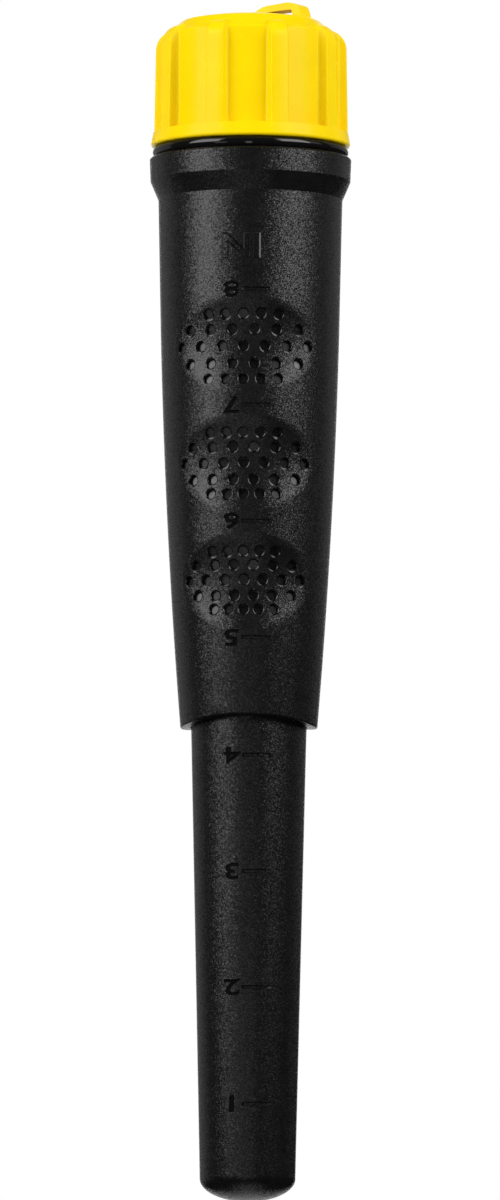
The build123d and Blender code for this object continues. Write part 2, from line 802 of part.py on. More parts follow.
# Lanyard fin, drawn on the plane through the cap's axis and one rib
with BuildPart() as lanyard_fin:
    with BuildSketch(Plane(origin=(0, 0, 0), x_dir=fin_along, z_dir=-fin_across)) as fin_outline:
        with BuildLine():
            Polyline(
                (fin_start, dome_z - fin_root),
                (fin_start, dome_top_z + fin_start_rise),
                (fin_corner, dome_top_z + fin_corner_rise),
                (fin_end, dome_z - fin_root),
                close=True,
            )
        make_face()
        fillet(fin_outline.vertices().sort_by(Axis.Y)[-1], fin_corner_round)
        fillet(fin_outline.vertices().sort_by(Axis.X)[:2].sort_by(Axis.Y)[-1], fin_start_round)
    extrude(amount=fin_thickness / 2, both=True)
    sides = lanyard_fin.faces().filter_by(Axis(origin=(0, 0, 0), direction=fin_across))
    root_edges = lanyard_fin.faces().sort_by(Axis.Z)[0].edges()
    fillet([edge for edge in sides.edges() if edge not in root_edges], fin_edge)

# One rib of the cap, drawn on the plane through the cap's axis
with BuildPart() as cap_rib:
    with BuildSketch(Plane.XZ):
        with BuildLine():
            Polyline(
                (bay_radius, rib_end_z),
                (bay_radius, rim_top_z),
                (rib_foot_radius, rim_top_z),
                (rib_bend_radius, rib_bend_z),
            )
            TangentArc((rib_bend_radius, rib_bend_z), (rib_end_radius, rib_end_z), tangent=(0, 1))
            Line((rib_end_radius, rib_end_z), (bay_radius, rib_end_z))
        make_face()
    extrude(amount=rib_width / 2, both=True)
    outer_edges = cap_rib.faces().filter_by(Axis.Y).edges().filter_by_position(
        Axis.X, drum_radius, rib_foot_radius, inclusive=(False, False)
    )
    fillet([edge for edge in outer_edges if edge.center().Z > rim_top_z], rib_edge)

# Battery cap: threaded plug, rim, drum, dome, ribs and fin
with BuildPart() as battery_cap:
    with BuildSketch(Plane.XZ):
        with BuildLine():
            Polyline(
                (0, ceiling_z),
                (bay_radius, ceiling_z),
                (bay_radius, plug_low_z),
                (plug_radius, plug_low_z),
                (plug_radius, rim_low_z),
                (rim_radius - rim_edge, rim_low_z),
                (rim_radius, rim_low_z + rim_edge),
                (rib_foot_radius, rim_top_z),
                (drum_radius, rim_top_z),
                (drum_radius, drum_top_z - drum_round),
            )
            TangentArc((drum_radius, drum_top_z - drum_round), (drum_top_radius, drum_top_z), tangent=(0, 1))
            Line((drum_top_radius, drum_top_z), (dome_radius, dome_z))
            RadiusArc(
                (0, dome_top_z),
                (dome_radius, dome_z),
                (dome_radius**2 + dome_rise**2) / (2 * dome_rise),
            )
            Line((0, dome_top_z), (0, ceiling_z))
        make_face()
    revolve(axis=Axis.Z)
    rings = battery_cap.edges().filter_by(GeomType.CIRCLE)
    fillet([ring for ring in rings if abs(ring.center().Z - dome_z) < bond_gap], dome_round)
    rings = battery_cap.edges().filter_by(GeomType.CIRCLE)
    fillet([ring for ring in rings if abs(ring.radius - rim_radius) < bond_gap], rim_round)
    with PolarLocations(0, rib_count, start_angle=first_rib_angle - 90):
        add(cap_rib.part)
    uprights = [(edge, edge.center()) for edge in battery_cap.edges().filter_by(Axis.Z)]
    fillet([edge for edge, spot in uprights if abs(hypot(spot.X, spot.Y) - drum_radius) < bond_gap], rib_root)
    add(lanyard_fin.part)
    eye_slope = (fin_corner_rise - fin_start_rise) / (fin_corner - fin_start)
    eye_top_z = dome_top_z + fin_start_rise + eye_slope * (eye_place - fin_start) - eye_cover
    eye_plane = Plane(
        origin=fin_along * eye_place + Vector(0, 0, eye_top_z - eye_radius),
        x_dir=fin_along,
        z_dir=fin_across,
    )
    with BuildSketch(eye_plane):
        Circle(eye_radius)
    extrude(amount=2 * rim_radius, both=True, mode=Mode.SUBTRACT)
save(battery_cap.part, "battery_cap")

# Foam pad under the cap's ceiling
with BuildPart() as battery_pad:
    with BuildSketch(Plane.XY.offset(battery_top_z + motion_gap)):
        Circle(bay_radius - pad_inset)
    extrude(amount=pad_thickness)
save(battery_pad.part, "battery_pad")
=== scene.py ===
import json
from math import cos, pi, radians, sin, tan

import bmesh
import bpy
from mathutils import Matrix, Vector
from mathutils.bvhtree import BVHTree
from mathutils.geometry import barycentric_transform


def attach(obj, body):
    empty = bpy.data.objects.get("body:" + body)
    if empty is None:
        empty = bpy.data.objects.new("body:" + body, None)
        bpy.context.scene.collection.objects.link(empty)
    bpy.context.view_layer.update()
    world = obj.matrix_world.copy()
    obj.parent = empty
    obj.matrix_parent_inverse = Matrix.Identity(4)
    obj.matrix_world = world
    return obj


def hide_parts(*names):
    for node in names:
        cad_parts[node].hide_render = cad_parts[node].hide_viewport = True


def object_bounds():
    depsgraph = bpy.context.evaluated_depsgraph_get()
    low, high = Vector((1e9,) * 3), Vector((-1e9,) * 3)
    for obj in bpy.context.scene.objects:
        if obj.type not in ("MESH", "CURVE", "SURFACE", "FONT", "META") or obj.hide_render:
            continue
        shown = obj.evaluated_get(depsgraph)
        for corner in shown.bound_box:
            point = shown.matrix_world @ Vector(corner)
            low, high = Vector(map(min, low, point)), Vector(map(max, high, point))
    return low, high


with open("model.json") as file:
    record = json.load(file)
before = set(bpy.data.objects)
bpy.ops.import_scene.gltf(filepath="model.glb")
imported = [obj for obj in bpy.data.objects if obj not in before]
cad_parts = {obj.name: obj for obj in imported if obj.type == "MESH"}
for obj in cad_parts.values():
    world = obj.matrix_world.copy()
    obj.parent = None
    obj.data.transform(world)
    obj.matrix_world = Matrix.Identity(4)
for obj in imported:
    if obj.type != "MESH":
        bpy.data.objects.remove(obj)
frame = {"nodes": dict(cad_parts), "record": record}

# Hand-held metal-detector pinpointer, tip down, with the ruler side facing -Y.
# Metres and degrees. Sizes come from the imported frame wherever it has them.

cad_low, cad_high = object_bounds()
nodes = frame["nodes"]
MM = 0.001

# Camera: a long lens, a little to the right and towards the tip
PHOTO_HEIGHT = 1200              # pixels
PIXELS_PER_METRE = 4564.0        # across the axis, in the photograph
VIEW_AZIMUTH = 3.7
VIEW_ELEVATION = -6.2
VIEW_ROLL = 0.17
CAMERA_DISTANCE = 4.0
SENSOR = 36.0                    # millimetres, along the frame's long side
AIM_SHIFT = Vector((0.16 * MM, 0.0, 0.36 * MM))

# Stage
FLOOR_DROP = 0.42                # the part is held in the air above the floor
FLOOR_RADIUS = 6.0
FLOOR_SEGMENTS = 96
FLOOR_COLOUR = (0.86, 0.86, 0.86)
FLOOR_ROUGHNESS = 0.9
SWEEP_START = 0.5                # where the floor begins to fade into the backdrop
SWEEP_END = 2.2
SURROUND_RADIUS = 1.7
SURROUND_HALF_ANGLE = 165.0
SURROUND_TOP = 1.6
SURROUND_STEPS = 48
SURROUND_COLOUR = (0.01, 0.01, 0.01)
APRON_RADIUS = 0.1               # inner edge of the dark apron on the floor
APRON_RISE = 0.002
AMBIENT = 0.42                   # radiance of the even light from all round

# Upright light panels: azimuth from the camera's, distance from the axis, height of the middle
SOFT_BOXES = {
    "left_box": {
        "azimuth": -56.5, "distance": 0.6, "middle": 0.58, "width": 0.42, "height": 0.76, "radiance": 3.9,
    },
    "right_box": {
        "azimuth": 56.0, "distance": 0.6, "middle": 0.64, "width": 0.42, "height": 0.66, "radiance": 3.9,
    },
    "right_fill": {
        "azimuth": 62.0, "distance": 0.6, "middle": 0.48, "width": 0.72, "height": 0.48, "radiance": 0.55,
    },
    "low_fill": {
        "azimuth": -2.2, "distance": 0.45, "middle": -0.05, "width": 0.055, "height": 0.34, "radiance": 1.6,
    },
    "left_low": {
        "azimuth": -36.0, "distance": 0.6, "middle": 0.0, "width": 0.16, "height": 0.22, "radiance": 1.0,
    },
    "left_rim": {
        "azimuth": -135.0, "distance": 1.0, "middle": 0.35, "width": 1.0, "height": 1.1, "radiance": 0.25,
    },
    "right_rim": {
        "azimuth": 135.0, "distance": 1.0, "middle": 0.6, "width": 1.0, "height": 0.9, "radiance": 0.2,
    },
}

# Ruler, engraved on the front: numerals stand upright when the tip points up
INCH = 25.4 * MM
FIRST_MARK = 20.6 * MM           # height of mark 1 above the tip
MARK_COUNT = 8
HANDLE_MARKS = (5, 6, 7, 8)
TICK_LEFT = -0.7 * MM
TICK_RIGHT = 5.7 * MM
TICK_HEIGHT = 0.9 * MM
TICK_STEPS = 12
TICK_SLOPE = 0.2 * MM            # width of a groove's sloped walls
TICK_DEPTH = 0.3 * MM
NUMERAL_MIDDLE = -2.85 * MM
NUMERAL_HEIGHT = 3.7 * MM
NUMERAL_SLOPE = 0.14 * MM
NUMERAL_STRETCH = 1.5            # the numerals are broad
UNIT_MIDDLE = Vector((-0.75 * MM, 0.0, 208.0 * MM))
UNIT_HEIGHT = 5.7 * MM
UNIT_SLOPE = 0.3 * MM
UNIT_STRETCH = 1.2
GROOVE_WALL = 0.08 * MM          # upright part of each groove's wall
GROOVE_FALL = 1.1                # depth of a wall for its width
FLAT = 0.97                      # how squarely a cutter's face looks down if it is a floor
GROOVE_RISE = 0.3 * MM           # cutter above the surface
FONT_STEPS = 6
OUTSIDE = 1.0                    # distance from which rays look for a surface

# Grips: rows of blind holes square to the dishes, with rounded lips and smooth floors
GRIP_COUNT = 3
GRIP_TOP = 186.1 * MM            # middle row of the uppermost grip
GRIP_STEP = 25.6 * MM
GRIP_SHRINK = 0.06               # each grip's rows stand this share closer than those of the one above
GRIP_TURN = -0.9                 # degrees round the handle
GRIP_ROWS = (                    # height above the middle row, number of holes, degrees between them
    (6.95 * MM, 5, 12.0),
    (3.64 * MM, 6, 15.4),
    (0.0, 7, 15.3),
    (-3.86 * MM, 6, 15.4),
    (-7.26 * MM, 5, 12.0),
)
GRIP_ZONE = (122.0 * MM, 199.0 * MM)
HOLE_RADIUS = 1.03 * MM
HOLE_DEPTH = 0.9 * MM
HOLE_LIP = 0.15 * MM             # width of each of the lip's two slopes
HOLE_LIP_SLOPES = (40.0, 24.0)   # degrees below the surface, the inner one first
HOLE_SEGMENTS = 24
HOLE_RISE = 0.1 * MM             # cutter above the surface
HOLE_EDGE_ANGLE = 50.0           # edges sharper than this bound a packed hole's wall and floor
HOLE_PATCH_AREA = 9.0 * MM * MM  # no wall or floor of a packed hole is larger
WELD = 1e-7                      # points closer than this are one
CORNER_PULL = 0.02               # how far towards a face's middle its corners look for a normal
SMOOTH_LIMIT = 0.5               # least cosine between a face and the normal that it takes over

# Cap: a drum with nine soft ribs, a cone and dome on top, and a fin with a slot for a lanyard
AXIS_RADIUS = 0.3 * MM           # small hole left in each end of the skin, which a flat face closes
CAP_CEILING = 254.1 * MM
CAP_EDGE = 0.4 * MM
BAY_RADIUS = 16.035 * MM
RIM_RADIUS = 21.865 * MM
RIM_LOW = 232.1 * MM
RIM_TOP = 235.1 * MM
RIM_EDGE = 0.6 * MM
RIM_ARC = (-60.0, 11.0)          # degrees, round the lower edge
RIM_CHAMFER = 0.08 * MM          # on the upper edge
DRUM_RADIUS = 19.005 * MM
DRUM_TOP = 257.0 * MM
DRUM_EDGE = 0.6 * MM
DRUM_EDGE_END = 80.0             # degrees
FOOT_ROUND = 0.35 * MM
RIB_COUNT = 9
RIB_START = 21.3                 # degrees from the ruler side to the first rib
RIB_HALF = 2.1 * MM              # half a rib's width
RIB_EDGE = 0.4 * MM
RIB_ROOT = 0.85 * MM
RIB_DRAFT = 0.12 * MM
RIB_EDGE_STEPS = 5
RIB_FLAT = 0.5                   # share of a rib's half width at which its top has a column
PANEL_SHARES = (0.35, 0.7, 1.0)  # columns across half a panel
RIB_FOOT_RADIUS = 21.405 * MM
RIB_BEND_RADIUS = 21.095 * MM
RIB_BEND = 253.9 * MM
RIB_SHOULDER = 4.4 * MM
RIB_SHOULDER_END = 75.0          # degrees
CONE_RADIUS = 16.9 * MM          # where the ribs end on the cone
CONE_HEIGHT = 258.18 * MM
DOME_RADIUS = 15.305 * MM
DOME_EDGE = 1.5 * MM
DOME_EDGE_ARC = (48.0, 76.0)     # degrees
DOME_EDGE_HEIGHT = 258.4 * MM
DOME_TOP = 261.45 * MM
DOME_ROUND = 69.74 * MM
ARC_STEPS = 4
SIDE_STEPS = 5
CAP_SHARP = 40.0                 # edges sharper than this stay crisp
FIN_ANGLE = 62.0                 # degrees from the ruler side towards +X
FIN_THICKNESS = 4.4 * MM
FIN_EDGE = 0.5 * MM
FIN_EDGE_STEPS = 3
ROUND_PROFILE = 0.5              # a bevel that is part of a circle
FIN_CORNERS = (                  # along the fin and up, with each corner's rounding
    ((2.2 * MM, 259.0 * MM), 0.1 * MM),
    ((2.2 * MM, 261.6 * MM), 0.3 * MM),
    ((4.3 * MM, 262.75 * MM), 6.0 * MM),
    ((11.4 * MM, 263.35 * MM), 5.5 * MM),
    ((13.5 * MM, 262.5 * MM), 1.7 * MM),
    ((14.5 * MM, 259.0 * MM), 0.1 * MM),
    ((12.0 * MM, 259.0 * MM), 0.1 * MM),
    ((11.9 * MM, 261.7 * MM), 0.4 * MM),
    ((5.3 * MM, 261.42 * MM), 0.1 * MM),
    ((5.2 * MM, 259.0 * MM), 0.1 * MM),
)

# Thread on the cap's plug, and the foam disc under its ceiling
PLUG_RADIUS = 18.235 * MM
THREAD_ROOT = 18.0 * MM          # inside the plug
THREAD_HEIGHT = 0.2 * MM
THREAD_WIDTH = 1.1 * MM          # half the ridge's width at its root
THREAD_CREST = 0.5 * MM
THREAD_LEAD = 5.0 * MM
THREAD_LOW = 202.0 * MM
THREAD_TURNS = 5.0
THREAD_STEPS = 72                # in one turn
THREAD_RUN = 9                   # steps over which each end thins out
THREAD_SHARP = 20.0
PAD_EDGE = 0.7 * MM
PAD_STEPS = 5
PAD_SIDES = 64


# Materials

def new_material(name, colour, roughness, **settings):
    """A named principled material with constant settings on the shader's own sockets."""
    material = bpy.data.materials.new(name)
    material.use_nodes = True
    shader = material.node_tree.nodes["Principled BSDF"]
    shader.inputs["Base Color"].default_value = (*colour, 1.0)
    shader.inputs["Roughness"].default_value = roughness
    for socket, value in settings.items():
        shader.inputs[socket.replace("_", " ").title().replace("Ior", "IOR")].default_value = value
    return material


def add_node(material, kind, **values):
    """Add a shader node and set its properties or unlinked inputs."""
    node = material.node_tree.nodes.new(kind)
    for key, value in values.items():
        if key in node.inputs:
            node.inputs[key].default_value = value
        else:
            setattr(node, key, value)
    return node


def connect(material, output, target):
    """Link two sockets of a material."""
    material.node_tree.links.new(output, target)


def shader_input(material, name):
    """One of the shader's own inputs."""
    return material.node_tree.nodes["Principled BSDF"].inputs[name]


def object_point(material):
    """Coordinates in the part's own frame, in metres."""
    return add_node(material, "ShaderNodeTexCoord").outputs["Object"]


def noise(material, size, detail=2.0, rough=0.5):
    """Noise whose features are about the given size in metres."""
    node = add_node(material, "ShaderNodeTexNoise", Scale=1.0 / size, Detail=detail, Roughness=rough)
    connect(material, object_point(material), node.inputs["Vector"])
    return node.outputs["Fac"]


def spread(material, factor, low, high, start=0.3, end=0.7):
    """Map a 0 to 1 factor between two values."""
    node = add_node(material, "ShaderNodeMapRange")
    for name, value in (("From Min", start), ("From Max", end), ("To Min", low), ("To Max", high)):
        node.inputs[name].default_value = value
    connect(material, factor, node.inputs["Value"])
    return node.outputs["Result"]


def tint(material, factor, first, second, start=0.35, end=0.65):
    """Blend two colours by a factor into the base colour."""
    ramp = add_node(material, "ShaderNodeValToRGB")
    ramp.color_ramp.elements[0].position = start
    ramp.color_ramp.elements[0].color = (*first, 1.0)
    ramp.color_ramp.elements[1].position = end
    ramp.color_ramp.elements[1].color = (*second, 1.0)
    connect(material, factor, ramp.inputs["Fac"])
    connect(material, ramp.outputs["Color"], shader_input(material, "Base Color"))


def bump(material, height, depth):
    """Bump the surface by a 0 to 1 height times a depth in metres."""
    node = add_node(material, "ShaderNodeBump", Distance=depth)
    connect(material, height, node.inputs["Height"])
    connect(material, node.outputs["Normal"], shader_input(material, "Normal"))


def facet(material, size, tilt):
    """Break the surface into small facets, each leaning at random by up to half the tilt."""
    cells = add_node(material, "ShaderNodeTexVoronoi", Scale=1.0 / size)
    connect(material, object_point(material), cells.inputs["Vector"])
    lean = add_node(material, "ShaderNodeVectorMath", operation="MULTIPLY_ADD")
    connect(material, cells.outputs["Color"], lean.inputs[0])
    lean.inputs[1].default_value = (tilt, tilt, tilt)
    lean.inputs[2].default_value = (-tilt / 2, -tilt / 2, -tilt / 2)
    total = add_node(material, "ShaderNodeVectorMath", operation="ADD")
    connect(material, add_node(material, "ShaderNodeNewGeometry").outputs["Normal"], total.inputs[0])
    connect(material, lean.outputs["Vector"], total.inputs[1])
    unit = add_node(material, "ShaderNodeVectorMath", operation="NORMALIZE")
    connect(material, total.outputs["Vector"], unit.inputs[0])
    connect(material, unit.outputs["Vector"], shader_input(material, "Normal"))


def vary_roughness(material, factor, low, high):
    """Vary the roughness between two values."""
    connect(material, spread(material, factor, low, high), shader_input(material, "Roughness"))


def grained_black():
    """Black housing plastic with a fine spark-eroded grain."""
    material = new_material("grained_black", (0.0055, 0.0055, 0.006), 0.25)
    tint(material, noise(material, 3.0 * MM, detail=3.0), (0.0045, 0.0045, 0.0048), (0.0065, 0.0065, 0.007))
    vary_roughness(material, noise(material, 0.5 * MM), low=0.24, high=0.32)
    facet(material, size=0.16 * MM, tilt=0.32)
    return material


def groove_black():
    """Smooth black in the engraved marks and round the lips of the grip holes."""
    material = new_material("groove_black", (0.004, 0.004, 0.004), 0.18)
    vary_roughness(material, noise(material, 0.5 * MM), low=0.14, high=0.22)
    bump(material, noise(material, 0.6 * MM), depth=0.006 * MM)
    return material


def hole_black():
    """Satin black on the flat floors of the grip holes."""
    material = new_material("hole_black", (0.005, 0.005, 0.005), 0.28, specular_ior_level=0.65)
    vary_roughness(material, noise(material, 0.8 * MM), low=0.24, high=0.32)
    bump(material, noise(material, 0.5 * MM), depth=0.004 * MM)
    return material


def mark_black():
    """Dull black, darker than the housing, on the floors of the numerals: painted shade of the narrow
    grooves.
    """
    material = new_material("mark_black", (0.001, 0.001, 0.001), 0.6, specular_ior_level=0.1)
    vary_roughness(material, noise(material, 0.5 * MM), low=0.55, high=0.65)
    bump(material, noise(material, 0.4 * MM), depth=0.006 * MM)
    return material


def gloss_yellow():
    """Smooth yellow cap plastic."""
    material = new_material("gloss_yellow", (0.95, 0.68, 0.0), 0.25, specular_ior_level=0.1)
    tint(material, noise(material, 9.0 * MM, detail=2.0), (0.93, 0.66, 0.0), (0.97, 0.69, 0.0))
    vary_roughness(material, noise(material, 2.5 * MM), low=0.22, high=0.28)
    return material


def seal_rubber():
    """Greased black rubber."""
    material = new_material("seal_rubber", (0.005, 0.005, 0.005), 0.07)
    vary_roughness(material, noise(material, 1.5 * MM), low=0.05, high=0.09)
    bump(material, noise(material, 1.2 * MM), depth=0.005 * MM)
    return material


def plain_plastic(name, colour, roughness, grain=0.5 * MM, depth=0.012 * MM):
    """Moulded plastic with slight colour change and grain."""
    material = new_material(name, colour, roughness)
    darker = tuple(0.88 * channel for channel in colour)
    tint(material, noise(material, 4.0 * MM), darker, colour)
    vary_roughness(material, noise(material, 1.5 * MM), low=0.85 * roughness, high=1.15 * roughness)
    bump(material, noise(material, grain), depth=depth)
    return material


def bright_metal(name, colour, roughness):
    """Drawn or plated metal with fine scratches."""
    material = new_material(name, colour, roughness, metallic=1.0)
    tint(material, noise(material, 2.0 * MM), tuple(0.85 * channel for channel in colour), colour)
    scratches = noise(material, 0.4 * MM, detail=4.0)
    vary_roughness(material, scratches, low=0.7 * roughness, high=1.4 * roughness)
    bump(material, noise(material, 0.15 * MM), depth=0.004 * MM)
    return material


PLASTICS = {                     # base colour and roughness
    "button_rubber": ((0.016, 0.016, 0.017), 0.62),
    "battery_jacket": ((0.05, 0.055, 0.07), 0.35),
    "chassis_plastic": ((0.25, 0.26, 0.28), 0.5),
    "board_laminate": ((0.015, 0.12, 0.05), 0.4),
    "chip_plastic": ((0.02, 0.02, 0.022), 0.55),
    "plunger_plastic": ((0.5, 0.47, 0.4), 0.45),
    "lamp_plastic": ((0.8, 0.82, 0.76), 0.15),
    "clear_plastic": ((0.75, 0.78, 0.8), 0.08),
    "ferrite": ((0.03, 0.03, 0.033), 0.5),
    "wire_jacket": ((0.35, 0.03, 0.02), 0.45),
}
METALS = {
    "plated_steel": ((0.62, 0.62, 0.63), 0.28),
    "spring_brass": ((0.78, 0.60, 0.30), 0.25),
    "weight_metal": ((0.34, 0.33, 0.32), 0.45),
    "copper_wire": ((0.72, 0.36, 0.20), 0.3),
}
looks = {
    "grained_black": grained_black(),
    "groove_black": groove_black(),
    "hole_black": hole_black(),
    "mark_black": mark_black(),
    "gloss_yellow": gloss_yellow(),
    "seal_rubber": seal_rubber(),
    "pad_foam": plain_plastic("pad_foam", (0.05, 0.05, 0.054), 0.9, grain=0.7 * MM, depth=0.15 * MM),
}
for slot, (colour, roughness) in PLASTICS.items():
    looks[slot] = plain_plastic(slot, colour, roughness)
for slot, (colour, roughness) in METALS.items():
    looks[slot] = bright_metal(slot, colour, roughness)
NODE_LOOKS = {"black_plastic": "grained_black", "yellow_plastic": "gloss_yellow"}
BLACK_ROWS = ("grained_black", "groove_black", "hole_black", "mark_black")


def dress_nodes():
    """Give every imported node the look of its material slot."""
    for row in frame["record"]["subparts"]:
        slot = row["material_slot"]
        mesh = nodes[row["node"]].data
        mesh.materials.clear()
        mesh.materials.append(looks[NODE_LOOKS.get(slot, slot)])


# Mesh helpers

def new_object(name, mesh):
    """Link a mesh into the scene as an object."""
    item = bpy.data.objects.new(name, mesh)
    bpy.context.scene.collection.objects.link(item)
    return item


def finished(shape):
    """Mesh of an edited shape, with its faces turned outward."""
    bmesh.ops.recalc_face_normals(shape, faces=shape.faces)
    mesh = bpy.data.meshes.new("shape")
    shape.to_mesh(mesh)
    shape.free()
    return mesh


def ring(shape, radius, height, count):
    """New points round the axis of a shape, at one height."""
    turns = [2 * pi * step / count for step in range(count)]
    return [shape.verts.new((radius * cos(turn), radius * sin(turn), height)) for turn in turns]


def bridge(shape, rings):
    """Close a row of equal rings of points with strips of quads and two end faces."""
    for lower, upper in zip(rings, rings[1:]):
        for index in range(len(lower)):
            after = (index + 1) % len(lower)
            shape.faces.new((lower[index], lower[after], upper[after], upper[index]))
    shape.faces.new(rings[0])
    shape.faces.new(rings[-1])


def surface_of(mesh):
    """Search tree of a mesh's faces."""
    points = [vertex.co for vertex in mesh.vertices]
    return BVHTree.FromPolygons(points, [list(face.vertices) for face in mesh.polygons])


def merged(meshes):
    """One mesh of several, with doubled points welded and faces turned outward."""
    joined = bmesh.new()
    for mesh in meshes:
        joined.from_mesh(mesh)
    bmesh.ops.remove_doubles(joined, verts=joined.verts, dist=WELD)
    return finished(joined)


def combine(item, other, operation):
    """Change an object by a closed second one, which is used up."""
    change = item.modifiers.new("change", "BOOLEAN")
    change.operation = operation
    change.solver = "MANIFOLD"
    change.object = other
    graph = bpy.context.evaluated_depsgraph_get()
    mesh = bpy.data.meshes.new_from_object(item.evaluated_get(graph))
    item.modifiers.clear()
    item.data = mesh
    bpy.data.objects.remove(other)


# Engraved ruler

def paint(cutter, floor):
    """Give a cutter one look on its floor, and that of a groove's walls elsewhere."""
    for face in cutter.polygons:
        face.material_index = BLACK_ROWS.index(floor if face.normal.z < -FLAT else "groove_black")


def groove_mesh(curve, slope, floor):
    """Closed mesh of a flat outline whose lower half narrows towards the floor of a groove."""
    curve.fill_mode = "BOTH"
    curve.extrude = GROOVE_WALL
    curve.bevel_depth = slope
    curve.bevel_resolution = 0
    outline = bpy.data.objects.new("outline", curve)
    bpy.context.scene.collection.objects.link(outline)
    graph = bpy.context.evaluated_depsgraph_get()
    mesh = bpy.data.meshes.new_from_object(outline.evaluated_get(graph))
    bpy.data.objects.remove(outline)
    mesh.transform(Matrix.Scale(GROOVE_FALL, 4, (0.0, 0.0, 1.0)))
    paint(mesh, floor)
    return mesh


def numeral_mesh(text, height, slope, stretch, floor):
    """Groove cutter for a short text, centred, of the given height, and turned half round."""
    font = bpy.data.curves.new("glyphs", "FONT")
    font.body = text
    font.resolution_u = FONT_STEPS
    outline = bpy.data.objects.new("outline", font)
    bpy.context.scene.collection.objects.link(outline)
    bpy.context.view_layer.update()
    low = Vector(outline.bound_box[0])
    high = Vector(outline.bound_box[6])
    bpy.data.objects.remove(outline)
    font.size = (height - 2 * slope) / (high.y - low.y)
    middle = (low + high) / 2 * font.size
    mesh = groove_mesh(font, slope, floor)
    half_turn = Matrix.Rotation(pi, 4, "Z") @ Matrix.Scale(stretch, 4, (1.0, 0.0, 0.0))
    mesh.transform(half_turn @ Matrix.Translation((-middle.x, -middle.y, 0.0)))
    return mesh


def tick_mesh():
    """Groove cutter for one mark of the ruler, in strips that can follow a curved surface."""
    half = TICK_HEIGHT / 2
    shape = bmesh.new()
    rows = []
    for step in range(TICK_STEPS + 1):
        x = step / TICK_STEPS * (TICK_RIGHT - TICK_LEFT)
        depth = TICK_DEPTH if 0 < step < TICK_STEPS else 0.0
        section = [
            (-half, GROOVE_RISE), (-half, 0.0), (TICK_SLOPE - half, -depth),
            (half - TICK_SLOPE, -depth), (half, 0.0), (half, GROOVE_RISE),
        ]
        rows.append([shape.verts.new((x, y, z)) for y, z in section])
    bridge(shape, rows)
    mesh = finished(shape)
    paint(mesh, "grained_black")
    return mesh


def wrap(mesh, surface, across, height):
    """Lay a flat cutter on the front of a surface, with its own height along the surface's normal."""
    for vertex in mesh.vertices:
        start = Vector((across + vertex.co.x, -OUTSIDE, height + vertex.co.y))
        place = surface.ray_cast(start, Vector((0.0, 1.0, 0.0)))[0]
        outward = Vector((place.x, place.y, 0.0)).normalized()
        vertex.co = place + outward * vertex.co.z
    return mesh


def ruler_cutters(surface, marks, with_unit):
    """All groove cutters for the marks on one surface."""
    cutters = []
    for mark in marks:
        height = FIRST_MARK + (mark - 1) * INCH
        cutters.append(wrap(tick_mesh(), surface, TICK_LEFT, height))
        # The numerals' floors take the darker, dull black: painted shade in the grooves.
        numeral = numeral_mesh(str(mark), NUMERAL_HEIGHT, NUMERAL_SLOPE, NUMERAL_STRETCH, "mark_black")
        cutters.append(wrap(numeral, surface, NUMERAL_MIDDLE, height))
    if with_unit:
        unit = numeral_mesh("IN", UNIT_HEIGHT, UNIT_SLOPE, UNIT_STRETCH, "grained_black")
        cutters.append(wrap(unit, surface, UNIT_MIDDLE.x, UNIT_MIDDLE.z))
    return cutters


# Grip holes

def smooth_patches(shape):
    """Lists of faces that sharp edges part from one another."""
    limit = radians(HOLE_EDGE_ANGLE)
    waiting = set(shape.faces)
    patches = []
    while waiting:
        patch = [waiting.pop()]
        for face in patch:
            for edge in face.edges:
                if len(edge.link_faces) != 2 or edge.calc_face_angle() > limit:
                    continue
                for other in edge.link_faces:
                    if other in waiting:
                        waiting.remove(other)
                        patch.append(other)
        patches.append(patch)
    return patches


def plugged(source):
    """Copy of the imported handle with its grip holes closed, ready to be cut with rounded lips."""
    shape = bmesh.new()
    shape.from_mesh(source)
    bmesh.ops.remove_doubles(shape, verts=shape.verts, dist=WELD)
    lowest, highest = GRIP_ZONE
    inside = []
    for patch in smooth_patches(shape):
        middle = patch[0].calc_center_median()
        in_zone = middle.y < 0.0 and lowest < middle.z < highest
        if in_zone and sum(face.calc_area() for face in patch) < HOLE_PATCH_AREA:
            inside += patch
    bmesh.ops.delete(shape, geom=inside, context="FACES")
    bmesh.ops.holes_fill(shape, edges=[edge for edge in shape.edges if edge.is_boundary], sides=0)
    bmesh.ops.triangulate(shape, faces=[face for face in shape.faces if len(face.verts) > 3])
    return finished(shape)


def hole_mesh(place, normal):
    """Cutter for one blind hole with a rounded lip, square to the surface at a place."""
    inner_fall, outer_fall = [tan(radians(slope)) for slope in HOLE_LIP_SLOPES]
    profile = [
        (HOLE_RADIUS, -HOLE_DEPTH),
        (HOLE_RADIUS, -(inner_fall + outer_fall) * HOLE_LIP),
        (HOLE_RADIUS + HOLE_LIP, -outer_fall * HOLE_LIP),
        (HOLE_RADIUS + 2 * HOLE_LIP + HOLE_RISE / outer_fall, HOLE_RISE),
    ]
    shape = bmesh.new()
    bridge(shape, [ring(shape, radius, height, HOLE_SEGMENTS) for radius, height in profile])
    mesh = finished(shape)
    paint(mesh, "hole_black")
    mesh.transform(Matrix.Translation(place) @ normal.to_track_quat("Z", "Y").to_matrix().to_4x4())
    return mesh


def hole_cutters(surface):
    """Cutters for all the holes of the grips."""
    cutters = []
    for grip in range(GRIP_COUNT):
        size = 1 - grip * GRIP_SHRINK
        for rise, count, step in GRIP_ROWS:
            height = GRIP_TOP - grip * GRIP_STEP + size * rise
            for index in range(count):
                turn = radians(GRIP_TURN + (index - (count - 1) / 2) * step)
                away = Vector((sin(turn), -cos(turn), 0.0))
                start = OUTSIDE * away + Vector((0.0, 0.0, height))
                place, normal = surface.ray_cast(start, -away)[:2]
                cutters.append(hole_mesh(place, normal))
    return cutters


# Handle and probe

